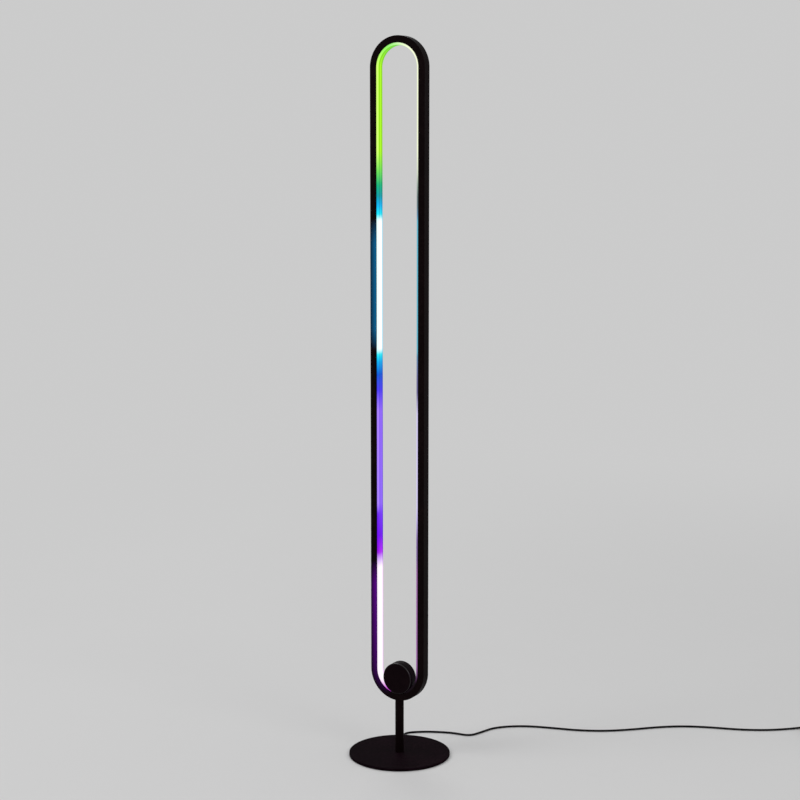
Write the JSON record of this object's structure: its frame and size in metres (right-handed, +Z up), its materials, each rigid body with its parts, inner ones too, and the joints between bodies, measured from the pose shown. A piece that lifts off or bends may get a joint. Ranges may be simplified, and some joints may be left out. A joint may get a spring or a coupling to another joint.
{
  "type": "led floor lamp",
  "caption": "Tall racetrack-loop floor lamp: black channel lit by an opal strip on its inside, control drum in the foot of the loop, short pole, flat round base and low-voltage cord.",
  "frame": {"origin": "middle of the base's underside, on the floor", "axes": "+Z up the pole, loop in the XZ plane, drum's front face towards -Y"},
  "size_m": [0.8773, 0.6632, 1.4062],
  "materials": {
    "black_steel": "black satin powder coat",
    "black_aluminium": "black satin coated extrusion",
    "black_plastic": "fine moulded satin",
    "steel": "zinc plated",
    "rubber": "matt",
    "cord_jacket": "soft satin jacket",
    "opal_diffuser": "opal, lit from behind",
    "strip_white": "white flexible circuit",
    "led_package": "clear lens over phosphor",
    "circuit_board": "green solder mask",
    "component_black": "moulded package",
    "component_white": "moulded connector",
    "capacitor_can": "bare can",
    "encoder_case": "die cast",
    "winding_tape": "polyester tape",
    "blade_brass": "plated"
  },
  "bodies": {
    "lamp": {"base_plate": "black_steel", "base_pad": "rubber", "base_hub": "steel", "cord_grommet": "rubber", "pole_tube": "black_steel", "upper_bushing": "component_black", "threaded_tube": "steel", "supply_lead": "cord_jacket", "loop_left_leg": "black_aluminium", "loop_right_leg": "black_aluminium", "loop_top_bend": "black_aluminium", "loop_bottom_bend": "black_aluminium", "diffuser_left_leg": "opal_diffuser", "diffuser_right_leg": "opal_diffuser", "diffuser_top_bend": "opal_diffuser", "diffuser_left_end": "opal_diffuser", "diffuser_right_end": "opal_diffuser", "led_strip": "strip_white", "led_chips": "led_package", "drum_housing": "black_plastic", "drum_back_cover": "black_plastic", "cover_screws": "steel", "controller_board": "circuit_board", "board_screws": "steel", "power_terminal": "component_white", "strip_connector": "component_white", "strip_lead": "cord_jacket", "control_chip": "component_black", "filter_capacitor": "capacitor_can", "encoder_body": "encoder_case", "encoder_nut": "steel", "switch_dome": "steel", "power_cord": "cord_jacket", "cord_coil": "cord_jacket", "coil_tie": "rubber", "adapter_shell": "black_plastic", "adapter_face": "black_plastic", "adapter_blades": "blade_brass", "adapter_strain_relief": "rubber", "adapter_board": "circuit_board", "adapter_transformer": "winding_tape", "adapter_capacitors": "capacitor_can"},
    "rotor": {"encoder_rotor": "component_white"},
    "dial": {"control_dial": "black_plastic", "encoder_shaft": "steel"}
  },
  "joints": [
    {"name": "dial_turn", "type": "hinge", "parent": "lamp", "child": "rotor", "pos_m": [0, 0, 0.1585], "axis": [0, 1, 0], "continuous": true},
    {"name": "dial_press", "type": "slide", "parent": "rotor", "child": "dial", "axis": [0, 1, 0], "range_m": [0, 0.0008], "stiffness_N_per_m": 2500, "springref_m": -0.0004}
  ]
}
